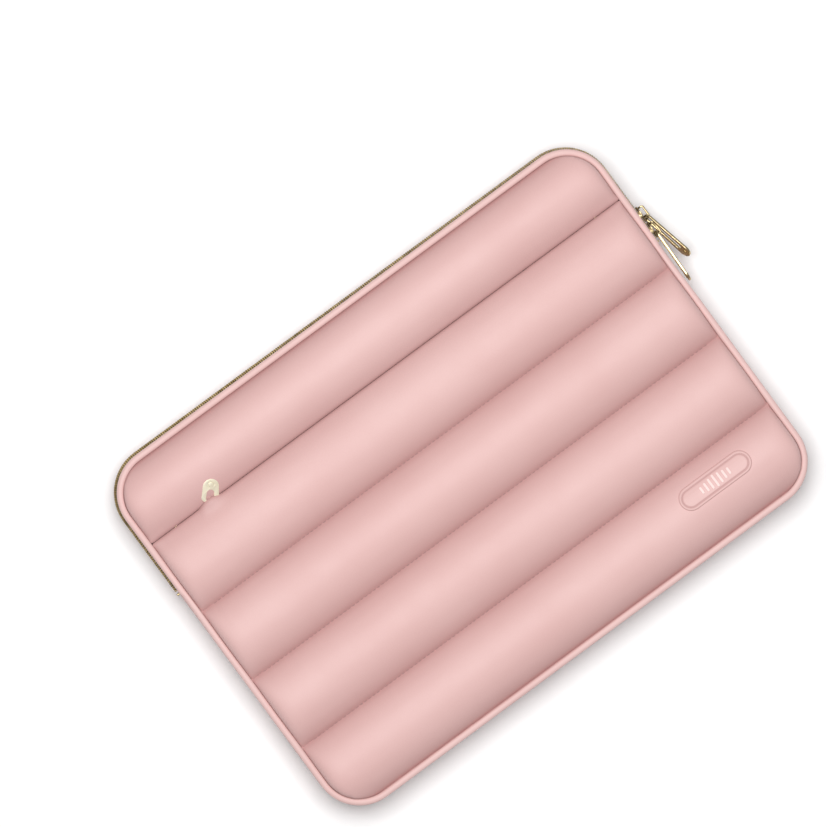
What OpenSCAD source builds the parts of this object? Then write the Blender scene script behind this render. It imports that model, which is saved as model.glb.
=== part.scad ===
// Quilted laptop sleeve with a zip round its mouth and a zipped pocket on its front.
// It lies on its back: X is the width, +Y points to the mouth and +Z to the front.
// The origin is the middle of the flat strip that the back rests on.

/* [Sleeve] */
// Width of the edge strip, outside
sleeve_w = 342; // [300:1:380]
// Height of the edge strip, outside
sleeve_h = 244; // [220:1:270]
// Radius of the four corners
corner_r = 27; // [20:1:40]
// Room for the laptop, front to back
bay_t = 16.2; // [12:0.1:24]

/* [Quilting] */
// Distance between two sewn seams
roll_pitch = 48.6; // [40:0.1:52]
// Height of the first seam above the middle
first_seam_y = 75.3; // [70:0.1:80]
// How far a roll stands above its seams
roll_rise = 6; // [4:0.1:8]
// Leatherette and scrim together
skin_t = 1; // [0.6:0.1:1.4]
// Foam behind the quilting
foam_t = 1.8; // [1:0.1:3]
// Lining cloth
lining_t = 0.6; // [0.4:0.1:1]

/* [Zips] */
// Height at which the mouth zip ends on both sides
zip_end_y = 43; // [30:1:50]
// Width of one row of teeth
teeth_w = 2.5; // [2:0.1:3]
// Free space between the two rows of teeth
teeth_gap = 0.8; // [0.7:0.05:1]
// Free width of the channel that holds the pocket zip
channel_w = 5.4; // [5.2:0.1:5.8]
// Half the length of the pocket zip
pocket_zip_half = 149; // [135:1:150]

/* [Sliders and pulls] */
// Length of a mouth slider
slider_len = 10.4; // [9:0.1:11]
// Thickness of a zip pull
pull_t = 1.3; // [1.2:0.1:1.4]
// Length of a mouth pull from its bar to its tip
pull_len = 34.5; // [28:0.5:36]
// Outward lean of the upper pull
upper_lean = 12; // [11:1:14]
// Twist of the upper pull about its own length
upper_twist = 20; // [0:1:22]
// Inward lean of the lower pull
lower_lean = 1; // [0:0.5:1]

/* [Patch] */
// Length of the stadium patch
patch_len = 49; // [40:1:60]
// Width of the stadium patch
patch_w = 14.4; // [10:0.1:18]
// Middle of the patch, sideways
patch_x = 115.5; // [60:0.5:120]
// Middle of the patch, up and down
patch_y = -87.3; // [-95:0.1:-85]

/* [Hidden] */
$fn = 96;

gap = 0.1;
big = 400;
half_w = sleeve_w / 2;
half_h = sleeve_h / 2;

// Depths, measured from the edge strip's outer face; negative is inward.
piping_in = -5.5;
piping_out = -0.4;
panel_in = -5.8;
strip_t = 2.2;
tape_in = -1.6;
tape_out = -0.8;
teeth_in = -1;
teeth_out = 1.6;

// Heights of the layers, from the back to the front.
back_flat = 0.4;
back_base = roll_rise + skin_t;
back_foam_z = back_base + gap;
back_lining_z = back_foam_z + foam_t + gap;
bay_z = back_lining_z + lining_t;
front_lining_z = bay_z + bay_t;
front_foam_z = front_lining_z + lining_t + gap;
front_foam_top_z = front_foam_z + foam_t;
pocket_lining_z = front_foam_top_z + gap;
pocket_lining_t = 0.4;
facing_z = pocket_lining_z + pocket_lining_t + gap;
facing_t = 0.3;
pocket_base = facing_z + facing_t + gap;
flap_base = front_foam_top_z + 0.2;
front_valley = flap_base + 3.5;
crest = front_valley + roll_rise;

// The edge: back piping, zip or gusset, front piping.
piping_h = 6.6;
chain_z = bay_z + bay_t / 2 + 1.4;
edge_h = 14.4;
piping_back_z = chain_z - edge_h / 2 - gap - piping_h;
piping_front_z = chain_z + edge_h / 2 + gap;
teeth_z = teeth_gap / 2 + teeth_w;

// Rolls from the mouth down, as [low edge, high edge]; the outline trims the two outermost edges.
panel_top = half_h + panel_in;
roll_end = panel_top + 0.2;
channel_low = first_seam_y - channel_w / 2;
channel_high = first_seam_y + channel_w / 2;
function seam_y(n) = first_seam_y - (n - 1) * roll_pitch;
FRONT_ROLLS = [
    [channel_high, roll_end],
    [seam_y(2), channel_low],
    [seam_y(3), seam_y(2)],
    [seam_y(4), seam_y(3)],
    [-roll_end, seam_y(4)]
];
BACK_ROLLS = [
    [seam_y(1), roll_end],
    [seam_y(2), seam_y(1)],
    [seam_y(3), seam_y(2)],
    [seam_y(4), seam_y(3)],
    [-roll_end, seam_y(4)]
];
end_run = 12;
// The end slope starts this far above the crest, so that the two never just touch.
end_lift = 0.5;
round_crest = -1;
wadding_half = 146;

// The front panel is cut across at the bottom of the channel, where its top part folds.
fold_y = channel_low;
// The mouth end of the side rows of teeth, at the start of the corners.
side_top_y = half_h - corner_r;
side_top_gap = 0.3;

upper_y = 60.6;
lower_y = 49.6;
pocket_slider_x = -125.8;
arch_h = 2.8;
arch_wall = 0.8;
arch_w = 1.2;
arch_half_len = 4.2;
bar_w = 1.2;
bar_shift = 2;
rivet_r = 1.2;
rivet_from_tip = 3.6;
pocket_arch_half_len = 2.4;
pocket_pull_len = 14.2;
pocket_pull_turn = 54;
pocket_pull_slope = 24;

leatherette = [0.91, 0.76, 0.75];
dark_leatherette = [0.84, 0.69, 0.68];
gold = [0.80, 0.64, 0.34];
cloth = [0.80, 0.66, 0.65];
wadding_white = [0.95, 0.94, 0.92];
foam_grey = [0.75, 0.75, 0.75];

// A profile drawn as [outward, up] runs along straight sides and round corners.
module corner_run() {
    translate([half_w - corner_r, half_h - corner_r, 0])
        rotate_extrude(angle = 90) translate([corner_r, 0]) children();
}

module side_run(low, high) {
    translate([half_w, high, 0]) rotate([90, 0, 0]) linear_extrude(high - low) children();
}

module both_sides() {
    children();
    mirror([1, 0, 0]) children();
}

module corners_and_top() {
    both_sides() corner_run() children();
    translate([corner_r - half_w, half_h, 0])
        rotate([90, 0, 90]) linear_extrude(2 * (half_w - corner_r)) children();
}

module top_run(low) {
    both_sides() side_run(low, side_top_y) children();
    corners_and_top() children();
}

module bottom_run(high) {
    mirror([0, 1, 0]) top_run(-high) children();
}

module strip_profile(inner, outer, low, high) {
    translate([inner, low]) square([outer - inner, high - low]);
}

// A welt with its two outer edges rounded.
module piping_profile(low) {
    round_r = 2.2;
    strip_profile(piping_in, piping_out - round_r, low, low + piping_h);
    strip_profile(piping_in, piping_out, low + round_r, low + piping_h - round_r);
    for (z = [low + round_r, low + piping_h - round_r])
        translate([piping_out - round_r, z]) circle(round_r);
}

// Rounded rectangle, moved in or out from the edge strip's outer face.
module outline(depth) {
    r = corner_r + depth;
    x = half_w - corner_r;
    y = half_h - corner_r;
    square([2 * (x + r), 2 * y], center = true);
    square([2 * x, 2 * (y + r)], center = true);
    for (i = [-1, 1], j = [-1, 1]) translate([i * x, j * y]) circle(r);
}

module panel(low_y, high_y, z, thick) {
    translate([0, 0, z]) linear_extrude(thick) intersection() {
        outline(panel_in);
        translate([-big / 2, low_y]) square([big, high_y - low_y]);
    }
}

function roll_radius(roll) =
    let (chord = roll[1] - roll[0])
    (chord * chord / 4 + roll_rise * roll_rise) / (2 * roll_rise);

// Section of one roll, crest upward; trim takes the section in on every side.
// A top_cut above zero makes the crest flat, and one below zero leaves it round.
module roll_section(roll, base, valley, trim, top_cut) {
    r = roll_radius(roll);
    intersection() {
        translate([(roll[0] + roll[1]) / 2, valley + roll_rise - r]) circle(r - trim);
        translate([roll[0] + trim, base])
            square([roll[1] - roll[0] - 2 * trim, valley + roll_rise - top_cut - base]);
    }
}

module along_x(half_len) {
    translate([-half_len, 0, 0]) rotate([90, 0, 90]) linear_extrude(2 * half_len) children();
}

// The rolls fall away at both ends.
module end_section(base, valley) {
    x = half_w + panel_in;
    top = valley + roll_rise + end_lift;
    low = valley + end_lift;
    polygon([[-x, base], [x, base], [x, low], [x - end_run, top], [end_run - x, top], [-x, low]]);
}

module quilted_skin(rolls, base, valley, top_cut) {
    difference() {
        intersection() {
            along_x(half_w) for (roll = rolls) roll_section(roll, base, valley, 0, top_cut);
            translate([0, half_h, 0]) rotate([90, 0, 0])
                linear_extrude(2 * half_h) end_section(base, valley);
            translate([0, 0, base - 1]) linear_extrude(valley + roll_rise - base + 2) outline(panel_in);
        }
        for (roll = rolls) channel(roll, base, valley, 0, top_cut);
    }
}

// The hollow of one roll; room takes it in again for the wadding that fills it.
module channel(roll, base, valley, room, top_cut) {
    along_x(wadding_half - room)
        roll_section(roll, base + skin_t + room, valley, skin_t + room, top_cut + skin_t + room);
}

module upside_down() {
    translate([0, 0, back_base]) mirror([0, 0, 1]) children();
}

// Two circles joined by straight sides; the second circle is at x = span.
// The sides lie a touch inside the tangents, so that they cross both circles cleanly.
module taper_link(r1, r2, span) {
    tuck = 0.985;
    a = acos((r1 - r2) / span);
    c = tuck * cos(a);
    s = tuck * sin(a);
    circle(r1);
    translate([span, 0]) circle(r2);
    polygon([
        [r1 * c, r1 * s],
        [r1 * c, -r1 * s],
        [span + r2 * c, -r2 * s],
        [span + r2 * c, r2 * s]
    ]);
}

// Drawn with X outward, Y along the zip and Z across it; the plates close on the chain.
module slider_body(length, half_span, inner_d, outer_d, flange_d, plate_t) {
    post_half = 0.25;
    tip_r = half_span * 0.72;
    span = length - half_span - tip_r;
    post_len = 2.2;
    flange_t = 0.8;
    for (d = [inner_d, outer_d])
        translate([d, -length / 2 + tip_r, 0]) rotate([90, 0, 90])
            linear_extrude(plate_t) taper_link(tip_r, half_span, span);
    translate([inner_d, length / 2 - half_span - post_len / 2, -post_half])
        cube([outer_d - inner_d + plate_t, post_len, 2 * post_half]);
    for (side = [-1, 1])
        translate([flange_d, length / 2 - half_span, side * (half_span - flange_t / 2 - 0.2) - flange_t / 2])
            translate([0, -length / 4, 0])
            cube([outer_d - flange_d + plate_t / 2, length / 4 + 0.6, flange_t]);
}

// The bridge that holds the pull, standing on the outer plate along Y.
module slider_arch(base_d, half_len) {
    round_r = 1.3;
    leg_t = 0.8;
    reach = arch_h + arch_wall;
    translate([base_d, 0, -arch_w / 2]) linear_extrude(arch_w) difference() {
        union() {
            translate([-0.2, -half_len]) square([reach + 0.2 - round_r, 2 * half_len]);
            translate([0, round_r - half_len]) square([reach, 2 * (half_len - round_r)]);
            for (side = [-1, 1])
                translate([reach - round_r, side * (half_len - round_r)]) circle(round_r);
        }
        translate([0, leg_t - half_len]) square([arch_h, 2 * (half_len - leg_t)]);
    }
}

// Flat in XY with the middle of its bar at the origin and its tip on +X.
module pull_plate(length, eye_r, head_r, slot_r) {
    eye_x = eye_r - bar_w / 2;
    head_x = length - head_r;
    slot_x = bar_w / 2 + slot_r;
    slot_end_x = length - 6.7 - slot_r;
    translate([0, 0, -pull_t / 2]) difference() {
        linear_extrude(pull_t) difference() {
            translate([eye_x, 0]) taper_link(eye_r, head_r, head_x - eye_x);
            translate([slot_x, 0]) taper_link(slot_r, slot_r, slot_end_x - slot_x);
        }
        translate([length - rivet_from_tip, 0, -1]) cylinder(h = pull_t + 2, r = rivet_r + 0.05);
    }
}

module pull_rivet(length) {
    head_h = 0.35;
    translate([length - rivet_from_tip, 0, 0]) {
        cylinder(h = pull_t + 2 * head_h, r = rivet_r, center = true);
        for (side = [-1, 1]) translate([0, 0, side * (pull_t + head_h + 0.04) / 2])
            cylinder(h = head_h - 0.04, r = rivet_r + 0.4, center = true);
    }
}

arch_mid_d = teeth_out + 0.3 + 0.7 + arch_h / 2;

module at_upper_pull() {
    translate([half_w + arch_mid_d, upper_y - bar_shift, chain_z])
        rotate([0, 0, upper_lean]) rotate([0, upper_twist, 0])
        rotate([0, 0, -90]) rotate([90, 0, 0]) children();
}

module at_lower_pull() {
    translate([half_w + arch_mid_d - 0.4, lower_y - bar_shift, chain_z])
        rotate([0, 0, -lower_lean]) rotate([0, 0, -90]) rotate([90, 0, 0]) children();
}

pocket_plate_t = 0.6;
coil_low_z = flap_base + 0.9;
coil_h = 1.4;
coil_w = 0.9;
coil_gap = 0.8;
pocket_plate_top = coil_low_z + coil_h + 0.2 + pocket_plate_t;

module at_pocket_slider() {
    translate([pocket_slider_x, first_seam_y, coil_low_z])
        rotate([0, 0, -90]) rotate([0, -90, 0]) children();
}

module at_pocket_pull() {
    translate([pocket_slider_x, first_seam_y, pocket_plate_top + arch_h / 2])
        rotate([pocket_pull_slope, 0, 0]) rotate([0, 0, pocket_pull_turn]) children();
}

module back_skin() {
    color(leatherette) upside_down() quilted_skin(BACK_ROLLS, 0, skin_t + back_flat, back_flat);
}

module back_wadding(n) {
    color(wadding_white) upside_down()
        channel(BACK_ROLLS[n - 1], 0, skin_t + back_flat, 0.2, back_flat);
}

module back_foam() {
    color(foam_grey) panel(-half_h, half_h, back_foam_z, foam_t);
}

module back_lining() {
    color(cloth) panel(-half_h, half_h, back_lining_z, lining_t);
}

module piping_back() {
    color(dark_leatherette) {
        top_run(0) piping_profile(piping_back_z);
        bottom_run(0) piping_profile(piping_back_z);
    }
}

module gusset_strip() {
    color(leatherette) bottom_run(zip_end_y - 1.2)
        strip_profile(-strip_t, 0, chain_z - edge_h / 2, chain_z + edge_h / 2);
}

module gusset_lining() {
    color(cloth) bottom_run(zip_end_y - 1.2)
        strip_profile(-strip_t - gap - lining_t, -strip_t - gap, chain_z - edge_h / 2, chain_z + edge_h / 2);
}

module piping_front_lower() {
    color(leatherette) bottom_run(side_top_y - side_top_gap) piping_profile(piping_front_z);
}

module zip_tape_back() {
    color(cloth) top_run(zip_end_y - 1.1)
        strip_profile(tape_in, tape_out, chain_z - edge_h / 2, chain_z - teeth_z - gap);
}

module zip_teeth_back() {
    color(gold) top_run(zip_end_y + 0.2)
        strip_profile(teeth_in, teeth_out, chain_z - teeth_z, chain_z - teeth_gap / 2);
}

module zip_tape_front_sides() {
    color(cloth) both_sides() side_run(zip_end_y - 1.1, side_top_y - side_top_gap)
        strip_profile(tape_in, tape_out, chain_z + teeth_z + gap, chain_z + edge_h / 2);
}

module zip_teeth_front_sides() {
    color(gold) both_sides() side_run(zip_end_y + 0.2, side_top_y - side_top_gap)
        strip_profile(teeth_in, teeth_out, chain_z + teeth_gap / 2, chain_z + teeth_z);
}

module zip_end_stops() {
    color(gold) both_sides() side_run(zip_end_y - 1.1, zip_end_y + 0.1)
        strip_profile(-0.7, teeth_out, chain_z - teeth_z, chain_z + teeth_z);
}

module front_skin_pocket() {
    rolls = [for (n = [1:4]) FRONT_ROLLS[n]];
    color(leatherette) quilted_skin(rolls, pocket_base, front_valley, round_crest);
}

module front_wadding(n) {
    base = n == 1 ? flap_base : pocket_base;
    color(wadding_white) channel(FRONT_ROLLS[n - 1], base, front_valley, 0.2, round_crest);
}

module front_foam_lower() {
    color(foam_grey) panel(-half_h, fold_y, front_foam_z, foam_t);
}

module front_lining_lower() {
    color(cloth) panel(-half_h, fold_y, front_lining_z, lining_t);
}

module pocket_lining() {
    color(cloth) panel(-half_h, fold_y, pocket_lining_z, pocket_lining_t);
}

module pocket_zip_facing() {
    facing_w = 9;
    color(cloth) translate([-pocket_zip_half, fold_y - facing_w, facing_z])
        cube([2 * pocket_zip_half, facing_w, facing_t]);
}

module stadium(length, width) {
    square([length - width, width], center = true);
    for (side = [-1, 1]) translate([side * (length - width) / 2, 0]) circle(width / 2);
}

// A layer that follows the crest of the lowest roll.
module over_last_roll(inner, outer) {
    roll = FRONT_ROLLS[4];
    r = roll_radius(roll);
    intersection() {
        along_x(half_w) translate([(roll[0] + roll[1]) / 2, crest - r]) difference() {
            circle(r + outer);
            circle(r + inner);
        }
        translate([patch_x, patch_y, crest - roll_rise]) linear_extrude(2 * roll_rise) children();
    }
}

module name_patch() {
    color(dark_leatherette) over_last_roll(0.05, 0.75) stadium(patch_len, patch_w);
}

// A plain row of upright bars, longest in the middle.
module patch_bars() {
    bar_count = 7;
    bar_pitch = 3.2;
    color(leatherette) over_last_roll(0.8, 1.2) for (i = [0:bar_count - 1]) {
        from_middle = i - (bar_count - 1) / 2;
        translate([from_middle * bar_pitch, 0]) rotate([0, 0, 90])
            stadium(8 - 1.2 * abs(from_middle), 1.2);
    }
}

module front_skin_top() {
    color(leatherette) quilted_skin([FRONT_ROLLS[0]], flap_base, front_valley, round_crest);
}

module front_foam_top() {
    color(foam_grey) panel(fold_y + gap, half_h, front_foam_z, foam_t);
}

module front_lining_top() {
    color(cloth) panel(fold_y + gap, half_h, front_lining_z, lining_t);
}

module piping_front_top() {
    color(leatherette) corners_and_top() piping_profile(piping_front_z);
}

module zip_tape_front_top() {
    color(cloth) corners_and_top()
        strip_profile(tape_in, tape_out, chain_z + teeth_z + gap, chain_z + edge_h / 2);
}

module zip_teeth_front_top() {
    color(gold) corners_and_top()
        strip_profile(teeth_in, teeth_out, chain_z + teeth_gap / 2, chain_z + teeth_z);
}

coil_out = coil_gap / 2 + coil_w;

module pocket_zip_coils() {
    color(gold) for (side = [-1, 1])
        translate([-pocket_zip_half, first_seam_y + side * (coil_out - coil_w / 2) - coil_w / 2, coil_low_z])
            cube([2 * pocket_zip_half, coil_w, coil_h]);
}

module pocket_zip_tapes() {
    tape_t = 0.5;
    tape_w = channel_w / 2 - coil_out - 2 * gap;
    color(cloth) for (side = [-1, 1])
        translate([-pocket_zip_half, first_seam_y + side * (coil_out + gap + tape_w / 2) - tape_w / 2,
            coil_low_z + (coil_h - tape_t) / 2])
            cube([2 * pocket_zip_half, tape_w, tape_t]);
}

module pocket_zip_stops() {
    stop_len = 1.8;
    color(gold) both_sides()
        translate([pocket_zip_half + gap, first_seam_y - coil_out, coil_low_z - 0.2])
            cube([stop_len, 2 * coil_out, coil_h + 0.4]);
}

module mouth_slider(y) {
    plate_t = 0.7;
    color(gold) translate([half_w, y, chain_z]) {
        slider_body(slider_len, 4.1, tape_in - 1, teeth_out + 0.3, -0.5, plate_t);
        slider_arch(teeth_out + 0.3 + plate_t, arch_half_len);
    }
}

module slider_upper() {
    mouth_slider(upper_y);
}

module slider_lower() {
    mouth_slider(lower_y);
}

module pull_upper() {
    color(gold) at_upper_pull() pull_plate(pull_len, 3.6, 4.8, 1.9);
}

module pull_upper_rivet() {
    color(gold) at_upper_pull() pull_rivet(pull_len);
}

module pull_lower() {
    color(gold) at_lower_pull() pull_plate(pull_len, 3.6, 4.8, 1.9);
}

module pull_lower_rivet() {
    color(gold) at_lower_pull() pull_rivet(pull_len);
}

module pocket_slider() {
    color(gold) at_pocket_slider() {
        slider_body(9.4, 1.8, -0.8, coil_h + 0.2, coil_h, pocket_plate_t);
        rotate([pocket_pull_turn, 0, 0]) slider_arch(coil_h + 0.2 + pocket_plate_t, pocket_arch_half_len);
    }
}

module pocket_pull() {
    color(gold) at_pocket_pull() pull_plate(pocket_pull_len, 4.2, 4.9, 1.9);
}

module pocket_pull_rivet() {
    color(gold) at_pocket_pull() pull_rivet(pocket_pull_len);
}

back_skin();
for (n = [1:5]) back_wadding(n);
back_foam();
back_lining();
piping_back();
gusset_strip();
gusset_lining();
piping_front_lower();
zip_tape_back();
zip_teeth_back();
zip_tape_front_sides();
zip_teeth_front_sides();
zip_end_stops();
front_skin_pocket();
for (n = [2:5]) front_wadding(n);
front_foam_lower();
front_lining_lower();
pocket_lining();
pocket_zip_facing();
name_patch();
patch_bars();
front_skin_top();
front_wadding(1);  // front_wadding_1
front_foam_top();
front_lining_top();
piping_front_top();
zip_tape_front_top();
zip_teeth_front_top();
pocket_zip_tapes();
pocket_zip_coils();
pocket_zip_stops();
slider_upper();
pull_upper();
pull_upper_rivet();
slider_lower();
pull_lower();
pull_lower_rivet();
pocket_slider();
pocket_pull();
pocket_pull_rivet();
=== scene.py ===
import math

import bpy
import numpy as np
from mathutils import Matrix, Vector


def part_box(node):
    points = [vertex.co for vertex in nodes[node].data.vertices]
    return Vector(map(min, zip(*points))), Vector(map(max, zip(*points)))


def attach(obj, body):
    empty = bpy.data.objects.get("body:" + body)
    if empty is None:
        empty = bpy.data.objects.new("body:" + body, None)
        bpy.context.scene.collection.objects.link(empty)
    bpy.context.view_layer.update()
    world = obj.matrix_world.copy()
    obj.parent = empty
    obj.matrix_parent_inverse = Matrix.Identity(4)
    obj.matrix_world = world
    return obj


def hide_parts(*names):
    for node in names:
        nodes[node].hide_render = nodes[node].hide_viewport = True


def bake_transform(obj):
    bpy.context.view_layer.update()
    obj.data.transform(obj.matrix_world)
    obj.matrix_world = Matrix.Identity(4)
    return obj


# A quilted laptop sleeve lying on its back. +Y points to the mouth and +Z to the front.

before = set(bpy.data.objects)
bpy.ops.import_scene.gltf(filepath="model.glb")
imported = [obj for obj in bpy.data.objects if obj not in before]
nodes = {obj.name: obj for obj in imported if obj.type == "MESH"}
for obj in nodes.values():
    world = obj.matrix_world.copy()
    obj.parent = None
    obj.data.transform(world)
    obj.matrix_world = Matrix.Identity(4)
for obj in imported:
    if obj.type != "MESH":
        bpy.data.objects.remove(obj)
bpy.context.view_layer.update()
mm = 0.001

# The outline that every edge piece follows, taken from the gusset and the welt.
gussetLow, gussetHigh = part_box("gusset_strip")
outline = {
    "halfWide": gussetHigh.x,
    "halfTall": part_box("piping_back")[1].y + 0.4 * mm,
    "cornerRadius": 27 * mm,
    "zipEnd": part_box("zip_end_stops")[0].y,
    "foldY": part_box("front_foam_lower")[1].y,
    "foldZ": 32 * mm,
}
bendStart = (0, outline["foldY"] - 4 * mm, outline["foldZ"])
bendEnd = (0, outline["foldY"] + 9 * mm, outline["foldZ"])


def pickNothing():
    if bpy.context.object and bpy.context.object.mode != "OBJECT":
        bpy.ops.object.mode_set(mode="OBJECT")
    bpy.ops.object.select_all(action="DESELECT")


def pickOnly(piece):
    pickNothing()
    piece.select_set(True)
    bpy.context.view_layer.objects.active = piece


def settle(piece, name=None):
    # place and size go into the mesh, so the object sits at the origin
    pickOnly(piece)
    bpy.ops.object.transform_apply(location=True, rotation=True, scale=True)
    if name:
        piece.name = name
        piece.data.name = name
    return piece


def points(piece):
    co = np.empty(len(piece.data.vertices) * 3)
    piece.data.vertices.foreach_get("co", co)
    return co.reshape(-1, 3)


def movePoints(piece, co):
    piece.data.vertices.foreach_set("co", np.ascontiguousarray(co, dtype=np.float64).ravel())
    piece.data.update()


def editPoints(piece, test=None):
    # opens edit mode with the vertices that pass the test, or all of them
    pickOnly(piece)
    if test is not None:
        mesh = piece.data
        mesh.polygons.foreach_set("select", np.zeros(len(mesh.polygons), bool))
        mesh.edges.foreach_set("select", np.zeros(len(mesh.edges), bool))
        mesh.vertices.foreach_set("select", np.asarray(test(points(piece)), bool))
    bpy.ops.object.mode_set(mode="EDIT")
    bpy.ops.mesh.select_mode(type="VERT")
    if test is None:
        bpy.ops.mesh.select_all(action="SELECT")


def leaveEdit(faceOut=True):
    if faceOut:
        bpy.ops.mesh.select_all(action="SELECT")
        bpy.ops.mesh.normals_make_consistent(inside=False)
    bpy.ops.object.mode_set(mode="OBJECT")


def addAndApply(piece, kind, **values):
    pickOnly(piece)
    modifier = piece.modifiers.new(kind.title(), kind)
    for key, value in values.items():
        setattr(modifier, key, value)
    bpy.ops.object.modifier_apply(modifier=modifier.name)


def bevelEdges(piece, width, segments, sharpFrom):
    # rounds every edge that turns by more than the given angle
    angle = math.radians(sharpFrom)
    addAndApply(piece, "BEVEL", width=width, segments=segments, limit_method="ANGLE", angle_limit=angle)


def repeatAlongX(piece, count, pitch):
    addAndApply(
        piece, "ARRAY", count=count, use_relative_offset=False, use_constant_offset=True,
        constant_offset_displace=(pitch, 0, 0),
    )


def smoothFaces(piece, angle=None):
    pickOnly(piece)
    if angle is None:
        bpy.ops.object.shade_smooth()
    else:
        bpy.ops.object.shade_smooth_by_angle(angle=math.radians(angle))


def joinPieces(parts, name):
    pickNothing()
    for part in parts:
        part.select_set(True)
    bpy.context.view_layer.objects.active = parts[0]
    if len(parts) > 1:
        bpy.ops.object.join()
    return settle(bpy.context.object, name)


def wear(piece, material):
    piece.data.materials.clear()
    piece.data.materials.append(material)
    return piece


def inset(co):
    # how far each point lies inside the outline's outer face
    x = np.abs(co[:, 0])
    y = np.abs(co[:, 1])
    r = outline["cornerRadius"]
    dx = x - (outline["halfWide"] - r)
    dy = y - (outline["halfTall"] - r)
    corner = np.hypot(np.maximum(dx, 0), np.maximum(dy, 0))
    return r - np.where((dx > 0) | (dy > 0), corner, np.maximum(dx, dy))


def newGroup(name, inputs, outputs):
    group = bpy.data.node_groups.new(name, "ShaderNodeTree")
    for title, kind, value in inputs:
        socket = group.interface.new_socket(title, in_out="INPUT", socket_type=kind)
        socket.default_value = value
    for title, kind in outputs:
        group.interface.new_socket(title, in_out="OUTPUT", socket_type=kind)
    start = group.nodes.new("NodeGroupInput")
    end = group.nodes.new("NodeGroupOutput")
    return group, start, end


def addNode(tree, kind, inputs=None, **values):
    node = tree.nodes.new(kind)
    for key, value in values.items():
        setattr(node, key, value)
    for key, value in (inputs or {}).items():
        if isinstance(value, bpy.types.NodeSocket):
            tree.links.new(value, node.inputs[key])
        else:
            node.inputs[key].default_value = value
    return node


def maths(tree, operation, a, b=0.0, c=0.0):
    return addNode(tree, "ShaderNodeMath", {0: a, 1: b, 2: c}, operation=operation).outputs[0]


def noise(tree, place, scale, detail, roughness=0.5):
    values = {"Vector": place, "Scale": scale, "Detail": detail, "Roughness": roughness}
    return addNode(tree, "ShaderNodeTexNoise", values)


def stretchRange(tree, value, low, high):
    return addNode(tree, "ShaderNodeMapRange", {0: value, 1: low, 2: high}).outputs[0]


def bumpInto(tree, shader, height, strength, distance):
    bump = addNode(tree, "ShaderNodeBump", {"Height": height, "Strength": strength, "Distance": distance})
    tree.links.new(bump.outputs[0], shader.inputs["Normal"])


def makeGrainGroup():
    # pebbled grain of coated cloth: a height, and a tone for the colour
    tree, start, end = newGroup(
        "fineGrain",
        [("Place", "NodeSocketVector", (0, 0, 0)), ("Size", "NodeSocketFloat", 0.7),
         ("Softness", "NodeSocketFloat", 0.5)],
        [("Height", "NodeSocketFloat"), ("Tone", "NodeSocketFloat")],
    )
    warpScale, warpReach, broadScale = 260.0, 0.7 * mm, 14.0
    fineShare, meanHeight, toneShare = 0.45, 0.8, 0.25
    where = start.outputs["Place"]
    size = maths(tree, "DIVIDE", 1 / mm, start.outputs["Size"])
    warp = noise(tree, where, warpScale, 2.0).outputs["Color"]
    middle = (0.5, 0.5, 0.5)
    shift = addNode(tree, "ShaderNodeVectorMath", {0: warp, 1: middle}, operation="SUBTRACT").outputs[0]
    small = addNode(tree, "ShaderNodeVectorMath", {0: shift, "Scale": warpReach}, operation="SCALE")
    moved = addNode(tree, "ShaderNodeVectorMath", {0: where, 1: small.outputs[0]}, operation="ADD")
    place = moved.outputs[0]
    values = {"Vector": place, "Scale": size, "Smoothness": start.outputs["Softness"]}
    pebble = addNode(tree, "ShaderNodeTexVoronoi", values, feature="SMOOTH_F1")
    fine = noise(tree, place, size, 4.0, 0.6)
    dome = maths(tree, "SUBTRACT", 1.0, pebble.outputs["Distance"])
    height = maths(tree, "MULTIPLY_ADD", fine.outputs["Fac"], fineShare, dome)
    broad = noise(tree, where, broadScale, 3.0)
    tone = maths(
        tree, "MULTIPLY_ADD", maths(tree, "SUBTRACT", height, meanHeight), toneShare, broad.outputs["Fac"]
    )
    tree.links.new(height, end.inputs["Height"])
    tree.links.new(tone, end.inputs["Tone"])
    return tree


def makeWeaveGroup():
    # over and under threads on a flat map in metres
    tree, start, end = newGroup(
        "threadWeave",
        [("Place", "NodeSocketVector", (0, 0, 0)), ("Pitch", "NodeSocketFloat", 0.5)],
        [("Height", "NodeSocketFloat"), ("Gaps", "NodeSocketFloat")],
    )
    parts = addNode(tree, "ShaderNodeSeparateXYZ", {0: start.outputs["Place"]})
    turns = maths(tree, "DIVIDE", math.pi / mm, start.outputs["Pitch"])
    across = maths(tree, "SINE", maths(tree, "MULTIPLY", parts.outputs["X"], turns))
    along = maths(tree, "SINE", maths(tree, "MULTIPLY", parts.outputs["Y"], turns))
    weave = maths(tree, "MULTIPLY", across, along)
    fuzzScale, fuzzShare, threadTop, threadRound = 2600.0, 0.5, 0.6, 0.3
    fuzz = noise(tree, start.outputs["Place"], fuzzScale, 2.0)
    thread = maths(tree, "ABSOLUTE", weave)
    height = maths(tree, "MULTIPLY_ADD", fuzz.outputs["Fac"], fuzzShare, thread)
    gaps = maths(tree, "SUBTRACT", 1.0, maths(tree, "SMOOTH_MIN", thread, threadTop, threadRound))
    tree.links.new(height, end.inputs["Height"])
    tree.links.new(gaps, end.inputs["Gaps"])
    return tree


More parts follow.
